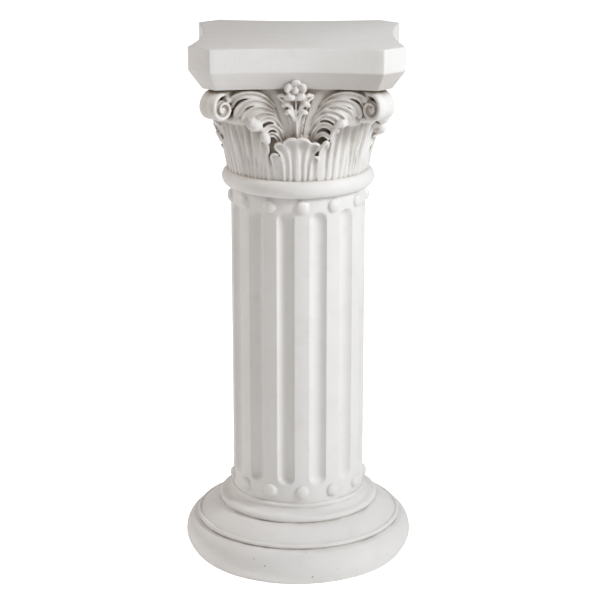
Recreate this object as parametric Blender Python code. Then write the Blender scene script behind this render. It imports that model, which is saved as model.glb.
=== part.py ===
"""Corinthian column pedestal, cast in one piece.

A round moulded base carries a straight shaft with thirteen round-ended flutes and a domed bead above
and below each land. A half-round ring parts the shaft from the capital, whose leaves, sprays of fronds,
corner scrolls and flowers stand under a square top with hollow sides and cut corners.
Units are metres. The origin is the middle of the underside, +Z is up and the front looks along -Y.
"""
import math

import bmesh
import bpy
from mathutils import Vector

# Stack of heights, from the floor up
BASE_HEIGHT = 0.0995
SHAFT_LENGTH = 0.4635
RING_SEAT = 0.010
CAPITAL_HEIGHT = 0.1314
BEVEL_HEIGHT = 0.0256
FASCIA_HEIGHT = 0.0320

# Square top
TOP_WIDTH = 0.2916
CORNER_CUT = 0.0305
SIDE_HOLLOW = 0.0130
BEVEL_INSET = 0.0180
TOP_EDGE_EASE = 0.0020

# Shaft with its flutes and beads
SHAFT_RADIUS = 0.0957
FLUTE_COUNT = 13
FLUTE_WIDTH = 0.0250
FLUTE_DEPTH = 0.0085
FLUTE_END_GAP = 0.0265
FLUTE_TOP_GAP = 0.0340
FLUTE_TIP_SHARE = 0.30
LAND_TURN = math.radians(4.0)
SHAFT_SEAT = 0.0200
BEAD_RADIUS = 0.0090
BEAD_RISE = 0.0058
BEAD_SEAT = 0.0030
BEAD_BELOW = 0.0165
BEAD_ABOVE = 0.0260
RING_RADIUS = 0.0127
RING_CORE = 0.0060

# Base mouldings, each as its reach beyond the shaft and its height above the floor
FOOT_REACH = 0.0604
TORUS_REACH = 0.0711
TORUS_MIDDLE = 0.0236
TORUS_TOP_REACH = 0.0524
TORUS_TOP = 0.0504
FILLET_REACH = 0.0546
FILLET_HEIGHT = 0.0068
FILLET_GROOVE = 0.0010
SLOPE_SWELL = 0.0024
SLOPE_TOP_REACH = 0.0182
SLOPE_TOP = 0.0766
SECOND_RING_REACH = 0.0206
SECOND_RING_HEIGHT = 0.0094
SECOND_RING_DEPTH = 0.0056
COVE_SINK = 0.0020
NECK_REACH = 0.0042
NECK_HEIGHT = 0.0068

# Bell of the capital
BELL_FOOT_INSET = 0.0020
BELL_FACE_FLARE = 0.0140
BELL_CORNER_FLARE = 0.0430
LEAF_FOOT_REACH = 0.0046
LEAF_FLARE = 0.0245
CORNER_LEAF_FLARE = 0.0390
LEAF_RIB = 0.0024
LEAF_FOOT_SHARE = -0.06
LEAF_LIP = 0.0080
CORNER_LEAF_LIP = 0.0095
FACE_LEAF_HALF = math.radians(17.0)
FACE_LEAF_FAN = math.radians(6.5)
CORNER_LEAF_HALF = math.radians(20.5)
CORNER_LEAF_FAN = math.radians(10.0)
LEAF_BODY = 0.0220
LEAF_HOLLOW = 0.0010
LEAF_TIP_SHARE = 0.060
CORNER_LEAF_POWER = 1.25
CARVING_SEAT = 0.0020

# Corner scrolls
SCROLL_REACH = 0.1535
SCROLL_RADIUS = 0.0208
SCROLL_WIDTH = 0.0310
SCROLL_BAND = 0.0052
SCROLL_TURNS = 1.60
SCROLL_RECESS = 0.0035
SCROLL_DROP = 0.0030
SCROLL_LEAD = 0.0300
SCROLL_SWELL = 0.0013
SCROLL_CLOSE_SHARE = 0.66
SCROLL_TAPER_SHARE = 0.02
CORE_SHARE = 0.88

# Sprays, sheaths, stem and flower of each face
FROND_COUNT = 6
FROND_WIDTH = 0.0105
FROND_RISE = 0.0090
FROND_ARCH_SHARE = 0.13
STALK_WIDTH = 0.0120
STALK_RISE = 0.0060
STEM_WIDTH = 0.0026
STEM_RISE = 0.0095
STRIP_SINK = 0.0110
STRIP_SEAT_SHARE = 0.45
STALK_FOOT_SHARE = 0.46
FROND_RUN_SHARE = 0.60
FROND_HOOK_DEGREES = 4.0
FROND_CEILING_SHARE = 0.98
FLOWER_RADIUS = 0.0155
FLOWER_RISE = 0.0090
FLOWER_PROUD = 0.0030
PETAL_SINK = 0.0120
PETAL_COUNT = 5
KNOB_RADIUS = 0.0052

# Facets
TURNED_STEPS = 40
FLUTE_STEPS = 4
FLUTE_END_STEPS = 2
BEAD_STEPS = 6
RING_STEPS = 4
SIDE_STEPS = 4
CORE_STEPS = 10
BELL_STEPS = 32
BELL_LEVELS = (-0.08, 0.30, 0.60, 0.82, 1.0)
SCROLL_STEPS = 15
CARVING_SHARE = 0.45
CASTING_SHARE = 0.72

NODE_NAME = "pedestal"

# Levels worked out from the stack
ring_level = BASE_HEIGHT + SHAFT_LENGTH
capital_foot = ring_level + RING_SEAT
capital_top = capital_foot + CAPITAL_HEIGHT
fascia_foot = capital_top + BEVEL_HEIGHT
top_level = fascia_foot + FASCIA_HEIGHT


def clear_scene():
    for item in list(bpy.data.objects):
        bpy.data.objects.remove(item, do_unlink=True)


def place(angle, radius, height):
    """Point at an angle from the front, turning towards +X."""
    return Vector((radius * math.sin(angle), -radius * math.cos(angle), height))


def bezier(points, t):
    """Point on the Bezier curve through any number of control points."""
    work = [Vector(p) for p in points]
    while len(work) > 1:
        work = [a.lerp(b, t) for a, b in zip(work, work[1:])]
    return work[0]


def skin(name, rings):
    """Closed body over a row of rings that have the same number of points."""
    form = bmesh.new()
    rows = [[form.verts.new(p) for p in ring] for ring in rings]
    count = len(rings[0])
    for low, high in zip(rows, rows[1:]):
        for i in range(count):
            j = (i + 1) % count
            form.faces.new((low[i], low[j], high[j], high[i]))
    form.faces.new(rows[0][::-1])
    form.faces.new(rows[-1])
    bmesh.ops.remove_doubles(form, verts=form.verts, dist=0.00001)
    bmesh.ops.dissolve_degenerate(form, edges=form.edges, dist=0.00001)
    bmesh.ops.triangulate(form, faces=form.faces)
    bmesh.ops.recalc_face_normals(form, faces=form.faces)
    mesh = bpy.data.meshes.new(name)
    form.to_mesh(mesh)
    form.free()
    body = bpy.data.objects.new(name, mesh)
    bpy.context.scene.collection.objects.link(body)
    return body


def turned(name, profile, steps):
    """Body turned about the axis from (radius, height) pairs."""
    rings = []
    for radius, height in profile:
        rings.append([place(2 * math.pi * i / steps, radius, height) for i in range(steps)])
    return skin(name, rings)


def base_profile():
    """Turned outline of the base, from the floor to the foot of the shaft."""
    points = [(FOOT_REACH, 0.0)]
    for share in (0.35, 0.70, 1.0):
        swell = (TORUS_REACH - FOOT_REACH) * math.sin(share * math.pi / 2)
        points.append((FOOT_REACH + swell, TORUS_MIDDLE * share))
    for share in (0.36, 0.70, 1.0):
        turn = share * math.pi / 2
        swell = (TORUS_REACH - TORUS_TOP_REACH) * math.cos(turn)
        points.append((TORUS_TOP_REACH + swell, TORUS_MIDDLE + (TORUS_TOP - TORUS_MIDDLE) * math.sin(turn)))
    fillet_top = TORUS_TOP + FILLET_HEIGHT
    points.append((FILLET_REACH, TORUS_TOP + FILLET_HEIGHT * 0.45))
    points.append((FILLET_REACH - FILLET_HEIGHT * 0.4, fillet_top))
    slope_foot = (FILLET_REACH - FILLET_HEIGHT * 0.85, fillet_top - FILLET_GROOVE)
    points.append(slope_foot)
    points.append(((slope_foot[0] + SLOPE_TOP_REACH) / 2 + SLOPE_SWELL,
                   (slope_foot[1] + SLOPE_TOP) / 2 + SLOPE_SWELL))
    points.append((SLOPE_TOP_REACH, SLOPE_TOP))
    second_top = (SECOND_RING_REACH - SECOND_RING_DEPTH, SLOPE_TOP + SECOND_RING_HEIGHT)
    points.append((SECOND_RING_REACH, SLOPE_TOP + SECOND_RING_HEIGHT * 0.40))
    points.append((SECOND_RING_REACH - SECOND_RING_DEPTH * 0.4, SLOPE_TOP + SECOND_RING_HEIGHT * 0.88))
    points.append(second_top)
    neck_foot = (NECK_REACH * 0.85, BASE_HEIGHT - NECK_HEIGHT)
    points.append(((second_top[0] + neck_foot[0]) / 2, (second_top[1] + neck_foot[1]) / 2 - COVE_SINK))
    points.append(neck_foot)
    points.append((NECK_REACH, BASE_HEIGHT - NECK_HEIGHT * 0.45))
    points.append((NECK_REACH * 0.2, BASE_HEIGHT))
    return [(SHAFT_RADIUS + reach, height) for reach, height in points]


def shaft():
    """Straight shaft with a round-ended groove between each two lands."""
    pitch = 2 * math.pi / FLUTE_COUNT
    half = FLUTE_WIDTH / 2
    low = BASE_HEIGHT + FLUTE_END_GAP
    high = ring_level - FLUTE_TOP_GAP
    rows = [(BASE_HEIGHT - SHAFT_SEAT, 0.0)]
    for i in range(FLUTE_END_STEPS + 1):
        turn = math.pi / 2 * i / FLUTE_END_STEPS
        rows.append((low + half * (1 - math.cos(turn)), math.sin(turn)))
    for i in range(FLUTE_END_STEPS, -1, -1):
        turn = math.pi / 2 * i / FLUTE_END_STEPS
        rows.append((high - half * (1 - math.cos(turn)), math.sin(turn)))
    rows.append((ring_level + RING_CORE, 0.0))
    rings = []
    for height, opening in rows:
        ring = []
        for k in range(FLUTE_COUNT):
            middle = LAND_TURN + (k + 0.5) * pitch
            reach = math.asin(half / SHAFT_RADIUS) * max(opening, FLUTE_TIP_SHARE)
            for i in range(FLUTE_STEPS + 1):
                share = -1 + 2 * i / FLUTE_STEPS
                depth = FLUTE_DEPTH * opening * math.sqrt(max(0.0, 1 - share * share))
                ring.append(place(middle + reach * share, SHAFT_RADIUS - depth, height))
            ring.append(place(middle + pitch / 2, SHAFT_RADIUS, height))
        rings.append(ring)
    return skin("shaft", rings)


def beads():
    """Domed beads on the lands, one row under the flutes and one above."""
    pitch = 2 * math.pi / FLUTE_COUNT
    bodies = []
    for level in (BASE_HEIGHT + BEAD_BELOW, ring_level - BEAD_ABOVE):
        for k in range(FLUTE_COUNT):
            angle = LAND_TURN + k * pitch
            out = place(angle, 1.0, 0.0)
            across = Vector((math.cos(angle), math.sin(angle), 0.0))
            rings = []
            for width, rise in ((1.0, -BEAD_SEAT), (0.84, 0.60 * BEAD_RISE), (0.38, BEAD_RISE)):
                ring = []
                for i in range(BEAD_STEPS):
                    turn = 2 * math.pi * i / BEAD_STEPS
                    side = across * math.cos(turn) + Vector((0, 0, 1)) * math.sin(turn)
                    middle = out * (SHAFT_RADIUS + rise) + Vector((0, 0, level))
                    ring.append(middle + side * BEAD_RADIUS * width)
                rings.append(ring)
            bodies.append(skin("bead", rings))
    return bodies


def neck_ring():
    """Half-round ring between the shaft and the capital."""
    profile = [(SHAFT_RADIUS - RING_CORE, ring_level - RING_RADIUS)]
    for i in range(RING_STEPS + 1):
        turn = -math.pi / 2 + math.pi * i / RING_STEPS
        profile.append((SHAFT_RADIUS + RING_RADIUS * math.cos(turn),
                        ring_level + RING_RADIUS * math.sin(turn)))
    profile.append((SHAFT_RADIUS - RING_CORE, ring_level + RING_RADIUS))
    return turned("neck_ring", profile, TURNED_STEPS)


def top_outline(inset, height):
    """Square with cut corners and hollow sides, moved in by an inset."""
    half = TOP_WIDTH / 2 - inset
    cut = CORNER_CUT - inset * (2 - math.sqrt(2))
    reach = half - cut
    side = []
    for i in range(SIDE_STEPS + 1):
        x = -reach + 2 * reach * i / SIDE_STEPS
        hollow = SIDE_HOLLOW * (1 - (x / reach) ** 2)
        side.append(Vector((x, -half + hollow, height)))
    ring = []
    for k in range(4):
        turn = k * math.pi / 2
        for p in side:
            ring.append(Vector((p.x * math.cos(turn) - p.y * math.sin(turn),
                                p.x * math.sin(turn) + p.y * math.cos(turn), height)))
    return ring


def square_top():
    return skin("square_top", [
        top_outline(BEVEL_INSET, capital_top),
        top_outline(0.0, fascia_foot),
        top_outline(0.0, top_level - TOP_EDGE_EASE),
        top_outline(TOP_EDGE_EASE, top_level),
    ])


def capital_level(share):
    return capital_foot + CAPITAL_HEIGHT * share


def squareness(angle):
    """Nought at the middle of a face and one at a corner."""
    return abs(math.sin(2 * angle)) ** 3


def bell_radius(angle, share):
    """Ground of the capital: round at its foot and squarer towards the top."""
    share = max(share, 0.0)
    foot = SHAFT_RADIUS - BELL_FOOT_INSET
    face = foot + BELL_FACE_FLARE * share ** 1.5
    corner = foot + BELL_CORNER_FLARE * share ** 1.4
    return face + (corner - face) * squareness(angle)


def bell():
    rings = []
    for share in BELL_LEVELS:
        height = capital_level(share) + (CARVING_SEAT if share == 1.0 else 0.0)
        rings.append([place(2 * math.pi * i / BELL_STEPS, bell_radius(2 * math.pi * i / BELL_STEPS, share),
                            height) for i in range(BELL_STEPS)])
    return skin("bell", rings)


def leaf(name, middle, half_angle, fan, flare, power, lip, columns):
    """Carved leaf from columns of (place across, height of its edge, rib or channel).

    Ribs stand between channels, and the scalloped edge curls outwards over them.
    """
    rings = []
    foot = SHAFT_RADIUS + LEAF_FOOT_REACH
    mirrored = [(-across, tip, rib) for across, tip, rib in columns[:0:-1]]
    for across, tip, rib in mirrored + list(columns):

        def at(share, lift, carving):
            angle = middle + across * (half_angle + fan * share)
            radius = foot + flare * max(share, 0.0) ** power
            return place(angle, radius + lift + rib * LEAF_RIB * carving, capital_level(share))

        rings.append([
            at(LEAF_FOOT_SHARE, -LEAF_BODY, 0.0),
            at(LEAF_FOOT_SHARE, 0.0, 0.6),
            at(tip * 0.50, 0.0, 1.0),
            at(tip * 0.84, -LEAF_HOLLOW, 1.2),
            at(tip - LEAF_TIP_SHARE, lip * 0.62, 0.3),
            at(tip - LEAF_TIP_SHARE * 0.58, lip, 0.0),
            at(tip, lip * 0.50, 0.0),
            at(tip - LEAF_TIP_SHARE * 0.20, -LEAF_BODY, 0.0),
        ])
    return skin(name, rings)


def face_leaf(turn):
    """Upright leaf in the middle of a face, with two lobes at its top and two steps each side."""
    columns = ((0.0, 0.478, 1.0), (0.25, 0.507, -1.0), (0.50, 0.425, 0.8), (0.66, 0.440, -0.7),
               (0.82, 0.270, 0.6), (0.91, 0.305, -0.4), (1.0, 0.230, 0.2))
    return leaf("face_leaf", turn, FACE_LEAF_HALF, FACE_LEAF_FAN, LEAF_FLARE, 1.0, LEAF_LIP, columns)


def corner_leaf(turn):
    """Broad leaf under each scroll, with a middle tip and two lobes each side."""
    columns = ((0.0, 0.665, 1.0), (0.17, 0.655, -0.8), (0.33, 0.575, 0.8), (0.54, 0.640, -0.8),
               (0.76, 0.455, 0.7), (0.88, 0.500, -0.5), (1.0, 0.380, 0.2))
    return leaf("corner_leaf", turn + math.pi / 4, CORNER_LEAF_HALF, CORNER_LEAF_FAN, CORNER_LEAF_FLARE,
                CORNER_LEAF_POWER, CORNER_LEAF_LIP, columns)


def ribbed_strip(name, turn, path, widths, rises, section):
    """Strip that follows a path of (angle, share of height) on the bell and stands proud of it."""
    steps = len(widths)
    spots = []
    for i in range(steps):
        spots.append(bezier(path, i / (steps - 1)))
    rings = []
    for i, spot in enumerate(spots):
        def point(p, lift):
            angle = math.radians(p.x)
            return place(turn + angle, bell_radius(angle, p.y) + lift, capital_level(p.y))
        before = point(spots[max(i - 1, 0)], 0.0)
        after = point(spots[min(i + 1, steps - 1)], 0.0)
        along = (after - before).normalized()
        angle = turn + math.radians(spot.x)
        out = place(angle, 1.0, 0.0)
        side = out.cross(along).normalized()
        middle = point(spot, 0.0)
        ring = []
        for across, rise in section:
            ring.append(middle + side * across * widths[i] / 2 + out * rise * rises[i])
        ring.append(middle + side * widths[i] * STRIP_SEAT_SHARE - out * STRIP_SINK)
        ring.append(middle - side * widths[i] * STRIP_SEAT_SHARE - out * STRIP_SINK)
        rings.append(ring)
    return skin(name, rings)


SCOOP = ((-1.0, 0.25), (-0.62, 0.85), (0.05, 0.62), (0.60, 1.0), (1.0, 0.25))
ROUNDED = ((-1.0, 0.2), (-0.55, 0.9), (0.55, 0.9), (1.0, 0.2))


def handed(path, hand):
    """Path of (degrees, share of height) on the right or left of a face."""
    return [Vector((degrees * hand, share, 0.0)) for degrees, share in path]


def spray(turn, hand):
    """Fronds that fan from the spine of a leaf towards the corner scroll."""
    spine = handed(((5.8, 0.557), (8.5, 0.80), (24.0, 0.98), (40.0, 0.93)), 1)
    tips = handed(((18.5, 0.46), (24.0, 0.74), (31.0, 0.70), (39.5, 0.90)), 1)
    section = SCOOP if hand < 0 else tuple((-across, rise) for across, rise in SCOOP[::-1])
    widths = [FROND_WIDTH * share for share in (0.45, 0.80, 1.00, 1.10, 0.65)]
    rises = [FROND_RISE * share for share in (0.55, 0.85, 1.00, 1.10, 0.75)]
    bodies = []
    for i in range(FROND_COUNT):
        share = i / (FROND_COUNT - 1)
        start = bezier(spine, FROND_RUN_SHARE * share)
        tip = bezier(tips, share)
        top = min(max(start.y, tip.y) + FROND_ARCH_SHARE, FROND_CEILING_SHARE)
        path = handed(((start.x, start.y), (tip.x - FROND_HOOK_DEGREES, top), (tip.x, tip.y)), hand)
        bodies.append(ribbed_strip("frond", turn, path, widths, rises, section))
    return bodies


def stalk_band(turn, hand):
    """Smooth band that rises from the leaf tip to the square top beside each spray."""
    path = handed(((4.6, STALK_FOOT_SHARE), (6.5, 0.80), (17.0, 1.02)), hand)
    widths = [STALK_WIDTH * share for share in (0.75, 0.83, 0.95, 1.08)]
    rises = [STALK_RISE * share for share in (1.0, 1.0, 0.9, 0.7)]
    return ribbed_strip("stalk_band", turn, path, widths, rises, ROUNDED)


def sheath(turn, hand):
    """Ruffled leaf that flanks the flower's stem and widens upwards."""
    path = handed(((1.3, STALK_FOOT_SHARE), (2.0, 0.75), (8.0, 0.95)), hand)
    widths = [STALK_WIDTH * share for share in (0.33, 0.62, 0.90, 1.12, 1.20)]
    rises = [STALK_RISE * share for share in (1.0, 1.2, 1.4, 1.5, 1.6)]
    return ribbed_strip("sheath", turn, path, widths, rises, ROUNDED)


def stem(turn):
    path = handed(((0.0, STALK_FOOT_SHARE), (0.0, 0.97)), 1)
    return ribbed_strip("stem", turn, path, (STEM_WIDTH, STEM_WIDTH), (STEM_RISE, STEM_RISE), ROUNDED)


def flower(turn):
    """Five-petalled flower with a round knob, at the middle of each side of the top."""
    out = place(turn, 1.0, 0.0)
    across = Vector((math.cos(turn), math.sin(turn), 0.0))
    up = Vector((0, 0, 1))
    seat = TOP_WIDTH / 2 - SIDE_HOLLOW - BEVEL_INSET
    middle = out * (seat + FLOWER_PROUD) + up * capital_top
    steps = PETAL_COUNT * 2
    bodies = []
    rings = []
    for radius, rise in ((0.80, -PETAL_SINK), (1.0, 0.35), (0.80, 0.95), (0.42, 0.55)):
        ring = []
        for i in range(steps):
            angle = 2 * math.pi * i / steps
            lobe = 0.5 + 0.5 * math.cos(PETAL_COUNT * (angle - math.pi / 2))
            reach = FLOWER_RADIUS * radius * (0.80 + 0.20 * lobe)
            lift = rise if rise < 0 else FLOWER_RISE * rise * (0.65 + 0.35 * lobe)
            ring.append(middle + (across * math.cos(angle) + up * math.sin(angle)) * reach + out * lift)
        rings.append(ring)
    bodies.append(skin("petals", rings))
    rings = []
    for width, rise in ((1.0, 0.0), (1.0, 0.60), (0.55, 1.05)):
        ring = []
        for i in range(BEAD_STEPS):
            angle = 2 * math.pi * i / BEAD_STEPS
            ring.append(middle + (across * math.cos(angle) + up * math.sin(angle)) * KNOB_RADIUS * width
                        + out * FLOWER_RISE * rise)
        rings.append(ring)
    bodies.append(skin("knob", rings))
    return bodies


def scroll(turn):
    """Corner scroll: a wide band that rolls over and in towards an eye on each side."""
    out = place(turn + math.pi / 4, 1.0, 0.0)
    axis = Vector((math.cos(turn + math.pi / 4), math.sin(turn + math.pi / 4), 0.0))
    up = Vector((0, 0, 1))
    level = capital_top - SCROLL_DROP - SCROLL_RADIUS
    middle = out * SCROLL_REACH + up * level
    half = SCROLL_WIDTH / 2
    rings = []
    for i in range(SCROLL_STEPS + 2):
        share = max(0.0, (i - 1) / SCROLL_STEPS)
        angle = math.pi / 2 - share * SCROLL_TURNS * 2 * math.pi
        radius = SCROLL_RADIUS * (1 - SCROLL_CLOSE_SHARE * share)
        spot = out * radius * math.cos(angle) + up * radius * math.sin(angle)
        normal = (out * math.cos(angle) + up * math.sin(angle))
        if i == 0:
            spot = out * -SCROLL_LEAD + up * (SCROLL_RADIUS + SCROLL_DROP + CARVING_SEAT)
            normal = up
        width = half * (1.0 - SCROLL_TAPER_SHARE * share)
        ring = []
        for side, lift in ((-1.0, 0.0), (0.0, SCROLL_SWELL), (1.0, 0.0), (1.0, -SCROLL_BAND),
                           (-1.0, -SCROLL_BAND)):
            ring.append(middle + spot + axis * side * width + normal * lift)
        rings.append(ring)
    band = skin("scroll_band", rings)
    core_half = half - SCROLL_RECESS
    rings = []
    for side in (-1.0, 1.0):
        ring = []
        for i in range(CORE_STEPS):
            angle = 2 * math.pi * i / CORE_STEPS
            ring.append(middle + axis * side * core_half
                        + (out * math.cos(angle) + up * math.sin(angle)) * SCROLL_RADIUS * CORE_SHARE)
        rings.append(ring)
    return [band, skin("scroll_core", rings)]


def resin():
    material = bpy.data.materials.new("cast_resin")
    material.use_nodes = True
    shader = material.node_tree.nodes["Principled BSDF"]
    shader.inputs["Base Color"].default_value = (0.80, 0.78, 0.75, 1.0)
    shader.inputs["Roughness"].default_value = 0.62
    shader.inputs["Metallic"].default_value = 0.0
    return material


def gather(name, forms):
    """Collection of forms that are only read by a union, so they don't show."""
    group = bpy.data.collections.new(name)
    bpy.context.scene.collection.children.link(group)
    for form in forms:
        bpy.context.scene.collection.objects.unlink(form)
        group.objects.link(form)
        form.hide_render = True
        form.display_type = "WIRE"
    return group


def join(body, name, forms, solver, share):
    """Fuse forms into a body, then drop the slivers that the seams leave."""
    union = body.modifiers.new(name, "BOOLEAN")
    union.operation = "UNION"
    union.operand_type = "COLLECTION"
    union.collection = gather(name, forms)
    union.solver = solver
    if solver == "EXACT":
        union.use_self = True
    fewer = body.modifiers.new(name + "_facets", "DECIMATE")
    fewer.ratio = share


clear_scene()

leaves = []
solids = [shaft(), neck_ring(), square_top()] + beads()
for quarter in range(4):
    facing = quarter * math.pi / 2
    leaves += [face_leaf(facing), corner_leaf(facing), stem(facing)]
    for hand in (-1, 1):
        leaves += spray(facing, hand)
        leaves += [stalk_band(facing, hand), sheath(facing, hand)]
    solids += scroll(facing) + flower(facing)

capital = bell()
join(capital, "leaves", leaves, "EXACT", CARVING_SHARE)

pedestal = turned(NODE_NAME, base_profile(), TURNED_STEPS)
join(pedestal, "casting", solids + [capital], "MANIFOLD", CASTING_SHARE)
pedestal.data.materials.append(resin())
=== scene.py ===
"""Looks of the column pedestal: one casting in antique-white resin on a plain pale floor."""
import math

import bmesh
import bpy
import numpy as np
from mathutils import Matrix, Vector


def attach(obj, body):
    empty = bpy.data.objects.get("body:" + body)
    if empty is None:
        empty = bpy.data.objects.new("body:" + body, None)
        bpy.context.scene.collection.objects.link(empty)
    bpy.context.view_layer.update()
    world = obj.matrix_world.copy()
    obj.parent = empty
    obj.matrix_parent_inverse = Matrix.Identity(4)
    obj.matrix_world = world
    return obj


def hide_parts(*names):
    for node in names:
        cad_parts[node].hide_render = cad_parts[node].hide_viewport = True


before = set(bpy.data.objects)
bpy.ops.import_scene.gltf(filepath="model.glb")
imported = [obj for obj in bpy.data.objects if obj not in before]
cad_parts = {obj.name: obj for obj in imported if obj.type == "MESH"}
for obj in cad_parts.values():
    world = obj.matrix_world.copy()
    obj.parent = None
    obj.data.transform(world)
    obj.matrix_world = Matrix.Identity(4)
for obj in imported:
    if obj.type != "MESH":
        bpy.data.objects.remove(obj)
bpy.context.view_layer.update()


# Base of the casting
# A fat round moulding with a rolled fillet, a slope, a round ring, a cove and a thin neck roll above it,
# turned on the mould's model and cast in the same resin as the rest. It stands flat on the floor.
base_height = 0.0995
shaft_radius = 0.0957
foot_reach = 0.0604
foot_ease = 0.0006
torus_reach = 0.0711
torus_middle = 0.0236
torus_top_reach = 0.0524
torus_top = 0.0504
torus_nick = 0.0009
nick_reach = 0.0046
nick_half = 0.0010
fillet_reach = 0.0546
fillet_height = 0.0068
fillet_groove = 0.0010
slope_swell = 0.0020
slope_top_reach = 0.0182
slope_top = 0.0766
second_ring_reach = 0.0206
second_ring_height = 0.0094
second_ring_depth = 0.0056
cove_sink = 0.0024
neck_reach = 0.0042
neck_height = 0.0068
crest_share = 0.45
slope_foot_share = 0.85
second_widest_share = 0.38
fillet_swell = 0.0022
fillet_lip = 0.0003
second_low_swell = 0.0006
second_high_swell = 0.0017
neck_swell = 0.0019
shaft_cover = 0.004
shaft_cover_rise = 0.0004
base_steps = 168
torus_low_steps = 9
torus_high_steps = 24
weld_distance = 0.00001


def place(angle, radius, height):
    """Point at an angle from the front, turning towards +X."""
    return Vector((radius * math.sin(angle), -radius * math.cos(angle), height))


def closed_mesh(name, rings):
    """Mesh over rings of equal length, closed at both ends, with its faces outwards."""
    count = len(rings[0])
    rows = len(rings)
    corners = [tuple(p) for ring in rings for p in ring]
    faces = []
    for row in range(rows - 1):
        for i in range(count):
            j = (i + 1) % count
            faces.append((row * count + i, row * count + j, (row + 1) * count + j, (row + 1) * count + i))
    faces.append(tuple(range(count))[::-1])
    faces.append(tuple((rows - 1) * count + i for i in range(count)))
    mesh = bpy.data.meshes.new(name)
    mesh.from_pydata(corners, [], faces)
    form = bmesh.new()
    form.from_mesh(mesh)
    bmesh.ops.remove_doubles(form, verts=form.verts, dist=weld_distance)
    bmesh.ops.dissolve_degenerate(form, edges=form.edges, dist=weld_distance)
    bmesh.ops.triangulate(form, faces=[face for face in form.faces if len(face.verts) > 4])
    bmesh.ops.recalc_face_normals(form, faces=form.faces)
    form.to_mesh(mesh)
    form.free()
    return mesh


def new_object(name, data):
    made = bpy.data.objects.new(name, data)
    bpy.context.scene.collection.objects.link(made)
    return made


def full_turn(steps):
    return [2 * math.pi * i / steps for i in range(steps)]


def turned(name, profile, steps):
    """Round solid through pairs of radius and height."""
    return closed_mesh(name, [[place(turn, radius, height) for turn in full_turn(steps)]
                              for radius, height in profile])


def arc(start, end, bulge, steps):
    """Points of a bowed line from start to end that stands out by bulge, without the start."""
    ax, ay = start
    bx, by = end
    chord = math.hypot(bx - ax, by - ay)
    nx, ny = (by - ay) / chord, -(bx - ax) / chord
    points = []
    for i in range(1, steps + 1):
        share = i / steps
        lift = bulge * 4 * share * (1 - share)
        points.append((ax + (bx - ax) * share + nx * lift, ay + (by - ay) * share + ny * lift))
    return points


base_profile = [(foot_reach - foot_ease, 0.0), (foot_reach, foot_ease)]
for i in range(1, torus_low_steps + 1):
    turn = math.pi / 2 * i / torus_low_steps
    base_profile.append((foot_reach + (torus_reach - foot_reach) * math.sin(turn),
                         torus_middle * i / torus_low_steps))
for i in range(1, torus_high_steps + 1):
    turn = math.pi / 2 * i / torus_high_steps
    reach = torus_top_reach + (torus_reach - torus_top_reach) * math.cos(turn)
    nick = torus_nick * math.exp(-((reach - torus_top_reach - nick_reach) / nick_half) ** 2)
    base_profile.append((reach, torus_middle + (torus_top - torus_middle) * math.sin(turn) - nick))
fillet_top = torus_top + fillet_height
fillet_crest = (fillet_reach - fillet_height * crest_share, fillet_top)
slope_foot = (fillet_reach - fillet_height * slope_foot_share, fillet_top - fillet_groove)
second_widest = (second_ring_reach, slope_top + second_ring_height * second_widest_share)
second_top = (second_ring_reach - second_ring_depth, slope_top + second_ring_height)
neck_foot = (neck_reach * 0.80, base_height - neck_height)
corner = (torus_top_reach, torus_top)
for next_corner, bulge, steps in (
        (fillet_crest, fillet_swell, 9), (slope_foot, fillet_lip, 3),
        ((slope_top_reach, slope_top), slope_swell, 14), (second_widest, second_low_swell, 5),
        (second_top, second_high_swell, 8), (neck_foot, -cove_sink, 10),
        ((neck_reach * 0.05, base_height), neck_swell, 9)):
    base_profile += arc(corner, next_corner, bulge, steps)
    corner = next_corner
base_profile.append((-shaft_cover, base_height + shaft_cover_rise))
base_profile = [(shaft_radius + reach, height) for reach, height in base_profile]
base = new_object("base", turned("base", base_profile, base_steps))


# Fluted shaft
# The straight drum of the casting. Thirteen round-bottomed flutes with round ends are sunk into it, and
# their edges are a little soft, as the mould leaves them.
shaft_length = 0.4635
flute_count = 13
flute_width = 0.0250
flute_depth = 0.0085
flute_end_gap = 0.0265
flute_top_gap = 0.0340
flute_softness = 0.0012
land_turn = math.radians(4.0)
flute_margin = 1.10
flute_clear = 1.3
shaft_sink = 0.012
shaft_overlap = 0.006
flute_half_columns = 8
flute_end_rows = 10
ring_level = base_height + shaft_length


def shaft_blank():
    """Plain drum whose rows and columns are close together where the flutes' edges will be."""
    half = flute_width / 2
    pitch = 2 * math.pi / flute_count
    quarter = math.pi / 2
    shares = [math.sin(quarter * i / flute_half_columns)
              for i in range(-flute_half_columns, flute_half_columns + 1)]
    columns = []
    for k in range(flute_count):
        middle = land_turn + (k + 0.5) * pitch
        columns += [middle + share * half * flute_margin / shaft_radius for share in shares]
        columns.append(middle + pitch / 2)
    low = base_height + flute_end_gap + half
    high = ring_level - flute_top_gap - half
    rows = flute_end_rows
    heights = [base_height - shaft_sink, base_height + shaft_overlap, low - half * flute_clear]
    heights += [low - half * flute_margin * math.cos(quarter * i / rows) for i in range(rows + 1)]
    heights += [low + (high - low) * i / rows for i in range(1, rows)]
    heights += [high + half * flute_margin * math.sin(quarter * i / rows) for i in range(rows + 1)]
    heights += [high + half * flute_clear, ring_level + shaft_overlap]
    rings = [[place(angle, shaft_radius, height) for angle in columns] for height in heights]
    return new_object("shaft", closed_mesh("shaft", rings))


def fed(group, socket, value):
    if isinstance(value, bpy.types.NodeSocket):
        group.links.new(value, socket)
    else:
        socket.default_value = value


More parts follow.
